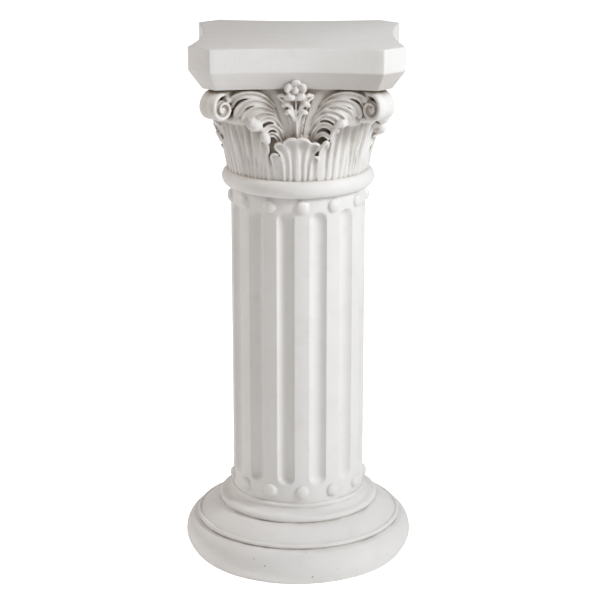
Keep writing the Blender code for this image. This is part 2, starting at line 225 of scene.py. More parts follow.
def wired(group, kind, feeds=(), **settings):
    """New node of a tree, with its inputs fed from other sockets or set to plain values."""
    made = group.nodes.new(kind)
    for key, value in settings.items():
        setattr(made, key, value)
    for slot, value in feeds:
        fed(group, made.inputs[slot], value)
    return made


class Tree:
    """Geometry Nodes tree with named inputs, on one object."""

    def __init__(self, name):
        self.group = bpy.data.node_groups.new(name, "GeometryNodeTree")
        self.group.interface.new_socket("Geometry", in_out="INPUT", socket_type="NodeSocketGeometry")
        self.group.interface.new_socket("Geometry", in_out="OUTPUT", socket_type="NodeSocketGeometry")
        self.start = self.group.nodes.new("NodeGroupInput")
        self.end = self.group.nodes.new("NodeGroupOutput")
        self.values = {}

    def size(self, name, value):
        kind = "NodeSocketInt" if isinstance(value, int) else "NodeSocketFloat"
        socket = self.group.interface.new_socket(name, in_out="INPUT", socket_type=kind)
        self.values[socket.identifier] = value
        return self.start.outputs[name]

    def add(self, kind, *feeds, **settings):
        return wired(self.group, kind, enumerate(feeds), **settings)

    def feed(self, socket, value):
        fed(self.group, socket, value)

    def math(self, operation, *feeds):
        return self.add("ShaderNodeMath", *feeds, operation=operation).outputs[0]

    def finish(self, body, geometry, material):
        """Realize, set the material, run the tree once and leave a plain mesh."""
        real = self.add("GeometryNodeRealizeInstances", geometry)
        painted = self.add("GeometryNodeSetMaterial", real.outputs[0])
        self.feed(painted.inputs["Material"], material)
        self.feed(self.end.inputs[0], painted.outputs[0])
        modifier = body.modifiers.new(self.group.name, "NODES")
        modifier.node_group = self.group
        for identifier, value in self.values.items():
            modifier[identifier] = value
        return plain(body)


def plain(body):
    """Swap a body's mesh for what its modifiers make of it, and drop the modifiers."""
    graph = bpy.context.evaluated_depsgraph_get()
    graph.update()
    mesh = bpy.data.meshes.new_from_object(body.evaluated_get(graph), depsgraph=graph)
    old = body.data
    body.modifiers.clear()
    body.data = mesh
    mesh.name = old.name
    bpy.data.meshes.remove(old)
    return body


resin = bpy.data.materials.new("antique_white_resin")
shaft = shaft_blank()
tree = Tree("flutes")
flutes = tree.size("Flutes", flute_count)
radius = tree.size("Shaft Radius", shaft_radius)
width = tree.size("Flute Width", flute_width)
depth = tree.size("Flute Depth", flute_depth)
low = tree.size("Lower Middle", base_height + flute_end_gap + flute_width / 2)
high = tree.size("Upper Middle", ring_level - flute_top_gap - flute_width / 2)
turn = tree.size("Turn", land_turn)
softness = tree.size("Edge Softness", flute_softness)
spot = tree.add("GeometryNodeInputPosition").outputs[0]
part = tree.add("ShaderNodeSeparateXYZ", spot)
forward = tree.math("MULTIPLY", part.outputs[1], -1.0)
angle = tree.math("ARCTAN2", part.outputs[0], forward)
pitch = tree.math("DIVIDE", 2 * math.pi, flutes)
place_in_pitch = tree.math("FRACT", tree.math("DIVIDE", tree.math("SUBTRACT", angle, turn), pitch))
off_middle = tree.math("SUBTRACT", place_in_pitch, 0.5)
across = tree.math("MULTIPLY", tree.math("MULTIPLY", off_middle, pitch), radius)
nearest = tree.math("MINIMUM", tree.math("MAXIMUM", part.outputs[2], low), high)
along = tree.math("SUBTRACT", part.outputs[2], nearest)
away = tree.math("ADD", tree.math("MULTIPLY", across, across), tree.math("MULTIPLY", along, along))
half = tree.math("MULTIPLY", width, 0.5)
sweep_radius = tree.math("DIVIDE", tree.math("ADD", tree.math("MULTIPLY", half, half),
                                             tree.math("MULTIPLY", depth, depth)),
                         tree.math("MULTIPLY", depth, 2.0))
inside = tree.math("SUBTRACT", tree.math("MULTIPLY", sweep_radius, sweep_radius), away)
under = tree.math("MAXIMUM", inside, 0.0)
sunk = tree.math("SUBTRACT", tree.math("SQRT", under), tree.math("SUBTRACT", sweep_radius, depth))
cut = tree.add("ShaderNodeMath", sunk, 0.0, softness, operation="SMOOTH_MAX").outputs[0]
flat = tree.add("ShaderNodeCombineXYZ", part.outputs[0], part.outputs[1], 0.0)
outward = tree.add("ShaderNodeVectorMath", flat.outputs[0], operation="NORMALIZE").outputs[0]
shift = tree.add("ShaderNodeVectorMath", outward, operation="SCALE")
tree.feed(shift.inputs["Scale"], tree.math("MULTIPLY", cut, -1.0))
carved = tree.add("GeometryNodeSetPosition", tree.start.outputs[0])
tree.feed(carved.inputs["Offset"], shift.outputs[0])
shaft = tree.finish(shaft, carved.outputs[0], resin)


# Beads
# Low round studs on the lands, one row below the flutes and one above them. They are cast on the shaft,
# and their feet run into it.
bead_radius = 0.0090
bead_rise = 0.0058
bead_below = 0.0165
bead_above = 0.0260
bead_ease = 0.0010
bead_sink = 0.0050
bead_steps = 24
dome_steps = 7


def bead_mesh():
    """One dome that stands on the XY plane, with a small fillet at its foot."""
    profile = [(1.16, -bead_sink), (1.16, -0.0006), (1.05, 0.0003), (1.0, bead_ease)]
    for i in range(1, dome_steps):
        turn = math.pi / 2 * i / dome_steps
        profile.append((math.cos(turn), bead_ease + (bead_rise - bead_ease) * math.sin(turn)))
    profile.append((0.02, bead_rise))
    return closed_mesh("bead", [
        [Vector((bead_radius * share * math.cos(turn), bead_radius * share * math.sin(turn), rise))
         for turn in full_turn(bead_steps)] for share, rise in profile])


beads = new_object("beads", bead_mesh())
tree = Tree("bead_rows")
count = tree.size("Beads", flute_count)
radius = tree.size("Shaft Radius", shaft_radius)
lower = tree.size("Lower Row", base_height + bead_below)
upper = tree.size("Upper Row", ring_level - bead_above)
turn = tree.size("Turn", land_turn)
rows = []
for level in (lower, upper):
    circle = tree.add("GeometryNodeMeshCircle")
    tree.feed(circle.inputs["Vertices"], count)
    tree.feed(circle.inputs["Radius"], radius)
    number = tree.add("GeometryNodeInputIndex").outputs[0]
    angle = tree.math("ADD", tree.math("MULTIPLY", number, tree.math("DIVIDE", 2 * math.pi, count)), turn)
    forwards = tree.math("MULTIPLY", radius, -1.0)
    seat = tree.add("ShaderNodeCombineXYZ", tree.math("MULTIPLY", tree.math("SINE", angle), radius),
                    tree.math("MULTIPLY", tree.math("COSINE", angle), forwards), level)
    moved = tree.add("GeometryNodeSetPosition", circle.outputs[0])
    tree.feed(moved.inputs["Position"], seat.outputs[0])
    tilt = tree.add("ShaderNodeCombineXYZ", math.pi / 2, 0.0, angle)
    studs = tree.add("GeometryNodeInstanceOnPoints", moved.outputs[0])
    tree.feed(studs.inputs["Instance"], tree.start.outputs[0])
    tree.feed(studs.inputs["Rotation"], tilt.outputs[0])
    rows.append(studs.outputs[0])
both = tree.add("GeometryNodeJoinGeometry")
for row in rows:
    tree.feed(both.inputs[0], row)
beads = tree.finish(beads, both.outputs[0], resin)


# Neck ring
# Half-round ring between the shaft and the capital, cast in one with them. The leaves stand on it, and
# it hides the step where the carving begins.
ring_radius = 0.0127
ring_sink = 0.006
ring_steps = 18
ring_profile = [(shaft_radius - ring_sink, ring_level - ring_radius)]
for i in range(ring_steps + 1):
    turn = -math.pi / 2 + math.pi * i / ring_steps
    ring_profile.append((shaft_radius + ring_radius * math.cos(turn),
                         ring_level + ring_radius * math.sin(turn)))
ring_profile.append((shaft_radius - ring_sink, ring_level + ring_radius))
neck_ring = new_object("neck_ring", turned("neck_ring", ring_profile, base_steps))


# Square top
# Thick slab with hollow sides and cut corners, a straight fascia above a long bevel. Its edges are
# rounded off by the mould and by handling.
ring_seat = 0.010
capital_height = 0.1314
bevel_height = 0.0256
fascia_height = 0.0320
top_width = 0.2916
corner_cut = 0.0305
side_hollow = 0.0130
bevel_inset = 0.0180
edge_round = 0.0016
edge_segments = 3
edge_least_turn = math.radians(20)
side_steps = 24
capital_foot = ring_level + ring_seat
capital_top = capital_foot + capital_height
fascia_foot = capital_top + bevel_height
top_level = fascia_foot + fascia_height


def top_outline(inset, height):
    """Square with cut corners and hollow sides, moved in by an inset."""
    half = top_width / 2 - inset
    reach = half - (corner_cut - inset * (2 - math.sqrt(2)))
    side = []
    for i in range(side_steps + 1):
        x = -reach + 2 * reach * i / side_steps
        side.append(Vector((x, -half + side_hollow * (1 - (x / reach) ** 2), height)))
    ring = []
    for k in range(4):
        turn = k * math.pi / 2
        for p in side:
            ring.append(Vector((p.x * math.cos(turn) - p.y * math.sin(turn),
                                p.x * math.sin(turn) + p.y * math.cos(turn), height)))
    return ring


square_top = new_object("square_top", closed_mesh("square_top", [
    top_outline(bevel_inset, capital_top), top_outline(0.0, fascia_foot), top_outline(0.0, top_level)]))
rounding = square_top.modifiers.new("edge_round", "BEVEL")
rounding.width = edge_round
rounding.segments = edge_segments
rounding.limit_method = "ANGLE"
rounding.angle_limit = edge_least_turn
plain(square_top)


# Bell of the capital
# The plain ground that the leaves are carved on: round above the ring, nearly square under the top. It
# stands a little further out between the feet of the leaves, where the mould is filled.
bell_foot_inset = 0.0020
bell_face_flare = 0.0140
bell_corner_flare = 0.0430
bell_face_power = 1.5
bell_corner_power = 1.4
bell_low_share = -0.10
bell_share_range = 1.115
bell_steps = 128
bell_rows = 14
ground_reach = 0.0028
ground_flare = 0.0200
ground_top = 0.28


def capital_level(share):
    return capital_foot + capital_height * share


def bell_radius(degrees, share):
    share = max(share, 0.0)
    foot = shaft_radius - bell_foot_inset
    face = foot + bell_face_flare * share ** bell_face_power
    corner = foot + bell_corner_flare * share ** bell_corner_power
    return face + (corner - face) * abs(math.sin(2 * math.radians(degrees))) ** 3


bell_rings = []
for i in range(bell_rows + 1):
    share = bell_low_share + bell_share_range * i / bell_rows
    ground = shaft_radius + ground_reach + ground_flare * (ground_top - abs(share - ground_top))
    radii = [max(bell_radius(360 * k / bell_steps, share), ground) for k in range(bell_steps)]
    bell_rings.append([place(turn, radius, capital_level(share))
                       for turn, radius in zip(full_turn(bell_steps), radii)])
bell = new_object("bell", closed_mesh("bell", bell_rings))


# Leaves of the capital
# An upright leaf in the middle of each face and a broad one under each scroll. Channels fan out over
# each leaf, and its scalloped edge rolls over outwards in thick lips. Places on a leaf are pairs of
# degrees from its middle and share of the capital's height.
leaf_foot_reach = 0.0046
leaf_flare = 0.0245
corner_leaf_flare = 0.0390
corner_leaf_power = 1.25
leaf_body = 0.0240
leaf_foot_share = -0.07
leaf_columns = 150
leaf_rows = 44
channel_fade = 0.012
channel_power = 1.3
curl_reach = 0.09
roll_sides = 12
roll_end_power = 12
corner_middle = 45.0
face_carving = []


def face_leaf_surface(degrees, share):
    return shaft_radius + leaf_foot_reach + leaf_flare * max(share, 0.0)


def corner_leaf_surface(degrees, share):
    return shaft_radius + leaf_foot_reach + corner_leaf_flare * max(share, 0.0) ** corner_leaf_power


def bezier(points, t):
    work = [Vector(p) for p in points]
    while len(work) > 1:
        work = [a.lerp(b, t) for a, b in zip(work, work[1:])]
    return work[0]


def read(spot, spots, values):
    """Value at a spot, on straight lines between the values at the spots."""
    return float(np.interp(spot, spots, values))


def between(values, t):
    """Value along an evenly spaced row of values."""
    return read(t, np.linspace(0, 1, len(values)), values)


def through(points, t):
    """Place on a smooth line that runs through every one of the points."""
    last = len(points) - 1
    i = min(int(t * last), last - 1)
    f = t * last - i
    a, b, c, d = (np.array(points[min(max(k, 0), last)]) for k in (i - 1, i, i + 1, i + 2))
    bend = 2 * a - 5 * b + 4 * c - d
    twist = 3 * b - a - 3 * c + d
    return 0.5 * (2 * b + (c - a) * f + bend * f ** 2 + twist * f ** 3)


def surface_point(surface, spot, lift=0.0):
    angle = math.radians(spot[0])
    return place(angle, surface(spot[0], spot[1]) + lift, capital_level(spot[1]))


def surface_normal(surface, spot):
    degrees, share = spot[0], spot[1]
    right = surface_point(surface, (degrees + 0.5, share)) - surface_point(surface, (degrees - 0.5, share))
    up = surface_point(surface, (degrees, share + 0.01)) - surface_point(surface, (degrees, share - 0.01))
    return right.cross(up).normalized()


def shifted(points, hand, middle=0.0):
    """Places given for the right of a leaf's middle, moved there and set on one hand."""
    return [(middle + degrees * hand, share) for degrees, share in points]


def rolled(surface, points, radii, lifts, steps=40):
    """Rounded roll of changing thickness that runs through the points on a surface."""
    rings = []
    for i in range(steps + 1):
        t = i / steps
        spot = through(points, t)
        ahead = through(points, min(t + 0.01, 1.0))
        behind = through(points, max(t - 0.01, 0.0))
        along = (surface_point(surface, ahead) - surface_point(surface, behind)).normalized()
        out = surface_normal(surface, spot)
        side = out.cross(along).normalized()
        end = math.sqrt(max(0.02, 1 - (2 * t - 1) ** roll_end_power))
        radius = between(radii, t) * end
        centre = surface_point(surface, spot, between(lifts, t))
        rings.append([centre + (side * math.cos(turn) + out * math.sin(turn)) * radius
                      for turn in full_turn(roll_sides)])
    face_carving.append(closed_mesh("roll", rings))


def leaf_sheet(surface, middle, halves, tips, channels, curl, sink=0.0):
    """Body of a leaf: halves give its reach in degrees to the left and right by share of height.

    tips are its top edge across, and each channel is (hand, or 0 for both, places from foot to tip,
    half widths in degrees, depths). The top of the sheet curls outwards.
    """
    half_shares, left_reach, right_reach = zip(*halves)
    tip_places, tip_shares = zip(*tips)
    runs = []
    for hand, places, widths, depths in channels:
        turns, heights = zip(*places)
        for side in ((-1, 1) if hand == 0 else (hand,)):
            runs.append((side, heights, turns, widths, depths))
    rings = []
    for i in range(leaf_columns + 1):
        across = -1 + 2 * i / leaf_columns
        reach = right_reach if across > 0 else left_reach
        tip = read(across if tip_places[0] < 0 else abs(across), tip_places, tip_shares)
        ring = []
        for k in range(leaf_rows + 1):
            share = leaf_foot_share + (tip - leaf_foot_share) * k / leaf_rows
            degrees = across * read(share, half_shares, reach)
            sunk = 0.0
            for side, heights, turns, widths, depths in runs:
                off = degrees - side * read(share, heights, turns)
                near = max(0.0, 1 - (off / read(share, heights, widths)) ** 2)
                fade = 1.0 if share < heights[-1] else max(0.0, 1 - (share - heights[-1]) / channel_fade)
                sunk = max(sunk, near ** channel_power * fade * read(share, heights, depths))
            lift = curl * max(0.0, 1 - (tip - share) / curl_reach) ** 2 - sunk - sink
            ring.append(surface_point(surface, (middle + degrees, share), lift))
        for share in (tip - 0.01, tip * 0.5, leaf_foot_share):
            degrees = across * read(share, half_shares, reach)
            ring.append(surface_point(surface, (middle + degrees, share), -leaf_body))
        rings.append(ring)
    face_carving.append(closed_mesh("leaf_sheet", rings))


face_halves = ((-0.07, 10.9, 10.9), (0.20, 11.4, 11.2), (0.30, 12.6, 11.9), (0.36, 14.4, 14.2),
               (0.40, 15.4, 15.4))
face_tips = ((0.0, 0.472), (0.22, 0.484), (0.42, 0.474), (0.57, 0.430), (0.66, 0.430), (0.85, 0.434),
             (0.95, 0.415), (1.0, 0.395))
face_channels = (
    (0, ((3.4, -0.07), (3.3, 0.20), (3.7, 0.34), (4.6, 0.455)),
     (1.7, 1.8, 2.6, 4.4), (0.0020, 0.0022, 0.0028, 0.0042)),
    (0, ((8.1, -0.07), (8.0, 0.20), (9.2, 0.31), (11.4, 0.37), (12.4, 0.415)),
     (1.9, 2.0, 2.4, 3.0, 3.2), (0.0018, 0.0020, 0.0024, 0.0030, 0.0034)))
leaf_sheet(face_leaf_surface, 0.0, face_halves, face_tips, face_channels, 0.0044)
side_halves = ((-0.07, 17.6, 14.4), (0.20, 18.8, 15.0), (0.30, 19.2, 15.4))
side_tips = ((-1.0, 0.268), (-0.96, 0.296), (-0.86, 0.312), (-0.74, 0.306), (-0.62, 0.260), (-0.57, 0.150),
             (-0.52, -0.030), (0.56, -0.030), (0.64, 0.160), (0.70, 0.240), (0.78, 0.278), (0.90, 0.282),
             (0.97, 0.268), (1.0, 0.250))
side_channels = (
    (1, ((12.8, -0.07), (13.2, 0.15), (13.6, 0.265)), (1.3, 1.4, 1.7), (0.0012, 0.0014, 0.0018)),
    (-1, ((14.6, -0.07), (15.2, 0.15), (16.2, 0.292)), (2.2, 2.4, 2.6), (0.0012, 0.0014, 0.0022)))
leaf_sheet(face_leaf_surface, 0.0, side_halves, side_tips, side_channels, 0.0034, 0.0024)
face_rim = ((11.4, 0.27), (12.4, 0.315), (14.0, 0.346), (15.2, 0.384), (14.8, 0.418), (12.6, 0.434),
            (10.4, 0.433), (9.2, 0.430), (8.2, 0.452), (6.0, 0.477), (3.4, 0.487), (1.4, 0.485),
            (-0.4, 0.474))
face_rim_radii = (0.0008, 0.0010, 0.0013, 0.0017, 0.0020, 0.0020, 0.0018, 0.0017, 0.0020, 0.0023, 0.0024,
                  0.0023, 0.0020)
face_rim_lifts = (0.0, 0.0004, 0.0010, 0.0026, 0.0040, 0.0044, 0.0038, 0.0036, 0.0042, 0.0050, 0.0052,
                  0.0050, 0.0042)
low_rims = {1: ((14.3, 0.0), (15.0, 0.18), (15.5, 0.252), (14.6, 0.276), (13.2, 0.284), (12.0, 0.280)),
            -1: ((17.8, 0.0), (18.8, 0.20), (19.3, 0.270), (17.8, 0.308), (15.8, 0.314), (13.6, 0.302))}
low_rim_radii = (0.0011, 0.0013, 0.0018, 0.0020, 0.0019, 0.0012)
low_rim_lifts = (-0.0022, -0.0016, 0.0006, 0.0022, 0.0022, 0.0006)
for hand in (-1, 1):
    rolled(face_leaf_surface, shifted(face_rim, hand), face_rim_radii, face_rim_lifts, 96)
    rolled(face_leaf_surface, shifted(low_rims[hand], hand), low_rim_radii, low_rim_lifts, 50)

corner_halves = ((-0.07, 29.4, 23.0), (0.25, 29.6, 23.6), (0.36, 29.4, 24.4), (0.44, 28.0, 25.0),
                 (0.60, 25.4, 25.2))
corner_tips = ((-1.0, 0.350), (-0.97, 0.400), (-0.92, 0.438), (-0.87, 0.440), (-0.82, 0.430),
               (-0.78, 0.560), (-0.72, 0.584), (-0.67, 0.580), (-0.62, 0.610), (-0.52, 0.636),
               (-0.44, 0.640), (-0.34, 0.650), (0.0, 0.655), (0.36, 0.648), (0.46, 0.630), (0.56, 0.626),
               (0.68, 0.608), (0.80, 0.560), (0.88, 0.528), (0.96, 0.490), (1.0, 0.410))
corner_channels = (
    (0, ((1.2, -0.07), (1.6, 0.15), (2.4, 0.36), (3.5, 0.61)),
     (1.2, 1.7, 2.8, 3.8), (0.0028, 0.0036, 0.0056, 0.0100)),
    (1, ((4.7, -0.07), (5.0, 0.15), (5.8, 0.36)), (1.0, 1.2, 1.2), (0.0036, 0.0038, 0.0014)),
    (-1, ((10.8, -0.07), (11.2, 0.15), (11.6, 0.36), (10.2, 0.61)),
     (1.5, 2.0, 2.9, 3.4), (0.0016, 0.0024, 0.0040, 0.0080)),
    (-1, ((5.6, -0.07), (6.0, 0.15), (6.6, 0.36)), (1.2, 1.4, 1.6), (0.0016, 0.0018, 0.0008)),
    (1, ((8.1, -0.07), (8.4, 0.15), (8.9, 0.36), (9.6, 0.61)),
     (1.2, 1.7, 2.6, 3.6), (0.0028, 0.0036, 0.0056, 0.0100)),
    (1, ((11.7, -0.07), (12.4, 0.15), (13.4, 0.33)), (1.0, 1.2, 1.2), (0.0036, 0.0038, 0.0014)),
    (1, ((15.5, -0.07), (16.4, 0.12), (17.2, 0.22)), (1.0, 1.2, 1.2), (0.0034, 0.0032, 0.0010)),
    (1, ((19.2, -0.07), (19.8, 0.10), (20.4, 0.18)), (1.0, 1.2, 1.2), (0.0030, 0.0028, 0.0010)),
    (1, ((13.8, 0.20), (15.2, 0.40), (17.6, 0.58)), (2.0, 3.0, 3.6), (0.0008, 0.0040, 0.0080)),
    (1, ((19.0, 0.20), (20.8, 0.36), (22.0, 0.50)), (1.6, 2.2, 2.6), (0.0006, 0.0024, 0.0044)),
    (-1, ((17.2, -0.07), (17.4, 0.25), (17.0, 0.42), (15.6, 0.585)),
     (1.3, 1.7, 2.3, 2.7), (0.0020, 0.0030, 0.0044, 0.0064)),
    (-1, ((22.9, -0.07), (23.0, 0.22), (22.8, 0.43)), (1.4, 1.7, 1.9), (0.0022, 0.0034, 0.0046)))
leaf_sheet(corner_leaf_surface, corner_middle, corner_halves, corner_tips, corner_channels, 0.0056)
lip_rolls = (
    (((-6.4, 0.664), (-3.2, 0.668), (0.0, 0.670), (4.5, 0.664), (9.0, 0.656), (12.4, 0.632)),
     (0.0034, 0.0050, 0.0062, 0.0066, 0.0058, 0.0028), (0.0040, 0.0064, 0.0074, 0.0076, 0.0066, 0.0034)),
    (((-14.2, 0.636), (-12.2, 0.648), (-9.8, 0.654), (-7.4, 0.652), (-5.6, 0.640)),
     (0.0030, 0.0052, 0.0060, 0.0056, 0.0036), (0.0052, 0.0074, 0.0084, 0.0078, 0.0056)),
    (((-21.4, 0.610), (-19.6, 0.636), (-17.6, 0.648), (-15.8, 0.642), (-14.4, 0.624)),
     (0.0028, 0.0048, 0.0058, 0.0056, 0.0036), (0.0046, 0.0068, 0.0080, 0.0074, 0.0056)),
    (((-22.4, 0.480), (-22.0, 0.552), (-20.4, 0.586), (-18.6, 0.578), (-17.8, 0.530)),
     (0.0012, 0.0024, 0.0032, 0.0028, 0.0014), (0.0012, 0.0036, 0.0050, 0.0046, 0.0024)),
    (((-28.2, 0.340), (-27.6, 0.412), (-25.6, 0.444), (-23.9, 0.424), (-23.5, 0.360)),
     (0.0012, 0.0024, 0.0030, 0.0024, 0.0012), (0.0006, 0.0028, 0.0040, 0.0032, 0.0008)),
    (((12.6, 0.640), (14.6, 0.652), (17.4, 0.644), (20.4, 0.612), (22.4, 0.576)),
     (0.0030, 0.0068, 0.0090, 0.0084, 0.0036), (0.0030, 0.0070, 0.0088, 0.0084, 0.0040)),
    (((20.6, 0.540), (22.8, 0.532), (24.6, 0.502), (25.0, 0.462), (24.0, 0.424)),
     (0.0022, 0.0054, 0.0072, 0.0064, 0.0026), (0.0022, 0.0060, 0.0078, 0.0068, 0.0022)),
    (((20.6, 0.410), (23.0, 0.410), (24.6, 0.384), (24.6, 0.350), (23.8, 0.300)),
     (0.0010, 0.0020, 0.0024, 0.0022, 0.0010), (0.0004, 0.0018, 0.0022, 0.0016, 0.0)))
for places, radii, lifts in lip_rolls:
    rolled(corner_leaf_surface, shifted(places, 1, corner_middle), radii, lifts, 60)


# Sprays, bands, sheaths and stem
# Between the leaves and the square top each face has two sprays of long spoon-shaped fronds that run to
# the scrolls, two smooth bands, and a pair of ruffled sheaths beside the thin stem of the flower.
frond_sink = 0.0120
frond_swell_start = 0.72
frond_swell_run = 0.28
frond_rim_place = 0.80
frond_rim_half = 0.16
frond_edge = 0.0012
frond_root = frond_sink + 0.004
stem_sink = 0.014
ruffle_lifts = (0.0096, 0.0126, 0.0140, 0.0112)
stem_lean = 0.9
lean_foot = 0.44
lean_height = 0.50
frond_tops = (0.0040, 0.0046, 0.0048, 0.0052, 0.0056, 0.0064, 0.0062)
frond_ends = (0.0150, 0.0190, 0.0200, 0.0185, 0.0170, 0.0150, 0.0125)
frond_paths = {
    -1: (((12.0, 0.36), (12.6, 0.50), (17.0, 0.590), (22.4, 0.452)),
         ((11.2, 0.42), (11.6, 0.60), (17.0, 0.670), (23.2, 0.524)),
         ((10.6, 0.46), (11.8, 0.68), (18.6, 0.770), (26.2, 0.606)),
         ((11.4, 0.55), (13.6, 0.75), (21.8, 0.805), (29.8, 0.636)),
         ((12.6, 0.63), (16.6, 0.83), (27.0, 0.855), (34.0, 0.664)),
         ((13.8, 0.70), (19.6, 0.92), (32.0, 0.935), (38.8, 0.676)),
         ((15.4, 0.80), (23.0, 1.000), (35.0, 0.995), (43.0, 0.770))),
    1: (((12.0, 0.36), (13.0, 0.50), (17.0, 0.590), (22.6, 0.470)),
        ((10.4, 0.44), (12.0, 0.60), (18.0, 0.700), (25.0, 0.552)),
        ((10.6, 0.52), (12.4, 0.72), (19.8, 0.785), (28.2, 0.602)),
        ((11.0, 0.59), (13.6, 0.78), (22.4, 0.830), (31.4, 0.640)),
        ((13.0, 0.67), (19.0, 0.84), (29.4, 0.855), (35.4, 0.664)),
        ((14.6, 0.74), (21.0, 0.92), (33.4, 0.935), (39.8, 0.682)),
        ((16.4, 0.82), (25.0, 1.000), (36.8, 0.990), (43.4, 0.772)))}


def spoon(path, widths, lifts, hollow, rim, ribs, end, sink, steps=34, across_steps=21, bulb=0.0):
    """Long scooped tongue with a round end that may swell, raised edges and fine ribs along it."""
    rings = []
    centres = []
    for i in range(steps + 1):
        t = i / steps
        spot = bezier([(a, b, 0.0) for a, b in path], t)
        centres.append((spot, surface_point(bell_radius, spot, between(lifts, t))))
    for i, (spot, centre) in enumerate(centres):
        t = i / steps
        along = (centres[min(i + 1, steps)][1] - centres[max(i - 1, 0)][1]).normalized()
        out = surface_normal(bell_radius, spot)
        side = out.cross(along).normalized()
        late = max(0.0, (t - (1 - end)) / end)
        cap = math.sqrt(max(0.0016, 1 - late ** 2))
        half = between(widths, t) * cap
        fade = min(1.0, t * 5)
        ring = []
        for k in range(across_steps):
            u = -1 + 2 * k / (across_steps - 1)
            reach = math.sqrt((u * cap) ** 2 + late ** 2)
            swell = bulb * max(0.0, (t - frond_swell_start) / frond_swell_run) ** 1.5
            dip = (hollow * fade - swell) * max(0.0, 1 - reach ** 2.6)
            if ribs > 0:
                ripple = math.cos(math.pi * (ribs + 1) * u) * max(0.0, 1 - reach ** 2)
                dip += hollow * 0.45 * fade * ripple
            bump = rim * fade * math.exp(-((reach - frond_rim_place) / frond_rim_half) ** 2)
            edge = frond_edge * max(0.0, (reach - 0.86) / 0.14) ** 2
            ring.append(centre + side * u * half + out * (bump - dip - edge))
        for u in (1.0, 0.6, 0.0, -0.6, -1.0):
            ring.append(centre + side * u * half - out * sink)
        rings.append(ring)
    face_carving.append(closed_mesh("spoon", rings))


def leaning(points):
    """Sheaths, stem and flower lean a little to the left as they rise."""
    return [(degrees - stem_lean * (share - lean_foot) / lean_height, share) for degrees, share in points]


spoon(leaning([(0.0, 0.44), (0.0, 0.92)]), (0.0040, 0.0066, 0.0092, 0.0104),
      (0.0048, 0.0056, 0.0066, 0.0070), -0.0010, 0.0, 0, 0.10, frond_sink)
ruffles = (
    (((1.2, 0.655), (2.8, 0.735), (5.2, 0.772), (7.6, 0.736)), (0.0016, 0.0028, 0.0038, 0.0026)),
    (((1.6, 0.735), (3.6, 0.824), (6.4, 0.856), (9.2, 0.816)), (0.0018, 0.0032, 0.0044, 0.0028)),
    (((3.0, 0.840), (5.2, 0.902), (8.2, 0.945), (12.4, 0.936)), (0.0016, 0.0026, 0.0030, 0.0014)),
    (((6.0, 0.850), (8.2, 0.888), (12.2, 0.926)), (0.0016, 0.0022, 0.0014)))
backing_path = ((12.4, 0.45), (16.0, 0.62), (23.0, 0.77), (36.0, 0.80))
band_path = ((6.0, 0.44), (8.4, 0.76), (17.0, 0.96))
sheath_path = ((1.8, 0.44), (2.2, 0.64), (4.2, 0.80), (7.4, 0.930))
for hand in (-1, 1):
    spoon(shifted(backing_path, hand), (0.0070, 0.0120, 0.0150, 0.0165, 0.0140),
          (0.0010, 0.0040, 0.0066, 0.0086, 0.0088), -0.0016, 0.0, 0, 0.2, frond_sink)
    for path, top, end in zip(frond_paths[hand], frond_tops, frond_ends):
        spoon(shifted(path, hand), (0.0022, top * 0.68, top * 0.78, top * 0.86, top * 1.08),
              (0.0044, 0.0094, 0.0124, 0.0152, end), 0.0022, 0.0014, 1, 0.13, frond_root, bulb=0.0050)
    spoon(shifted(band_path, hand), (0.0040, 0.0044, 0.0052, 0.0060, 0.0066),
          (0.0056, 0.0056, 0.0046, 0.0030, 0.0010), 0.0004, 0.0, 0, 0.02, frond_sink)
    spoon(leaning(shifted(sheath_path, hand)), (0.0018, 0.0036, 0.0052, 0.0062, 0.0060),
          (0.0056, 0.0078, 0.0096, 0.0110, 0.0116), 0.0012, 0.0008, 1, 0.15, frond_sink)
    for places, radii in ruffles:
        rolled(bell_radius, leaning(shifted(places, hand)), radii, ruffle_lifts, 24)
spoon(leaning([(0.0, 0.43), (0.0, 0.97)]), (0.0014, 0.0014), (0.0116, 0.0122), -0.0010, 0.0, 0,
      0.01, stem_sink, 8, 7)


# Flower
# Five puffy petals round a knob, cast in the middle of each side against the bevel of the square top.
# Their backs are sunk in it.
flower_rise = 0.0105
flower_proud = 0.0030
flower_shift = 0.0018
petal_count = 5
petal_middle = 0.0097
petal_half = 0.0062
petal_half_across = 0.0072
knob_radius = 0.0047
petal_points = 28
petal_profile = ((1.0, -0.012), (1.0, 0.30), (0.97, 0.58), (0.86, 0.82), (0.68, 0.96), (0.44, 1.0),
                 (0.20, 0.98), (0.03, 0.98))
petal_drop = 0.50
knob_points = 24
knob_profile = ((1.0, -0.004), (1.0, 0.0070), (0.94, 0.0090), (0.76, 0.0106), (0.46, 0.0116),
                (0.05, 0.0120))


def petal_mesh():
    """Puffy petal that points along +Y, lower at its inner end; its back is under Z = 0."""
    rings = []
    for reach, rise in petal_profile:
        ring = []
        for turn in full_turn(petal_points):
            x = petal_half_across * reach * math.cos(turn)
            y = petal_middle + petal_half * reach * math.sin(turn)
            inner = 1 - petal_drop * max(0.0, (petal_middle - y) / petal_half)
            ring.append(Vector((x, y, rise if rise < 0 else rise * inner * flower_rise)))
        rings.append(ring)
    return closed_mesh("petal", rings)


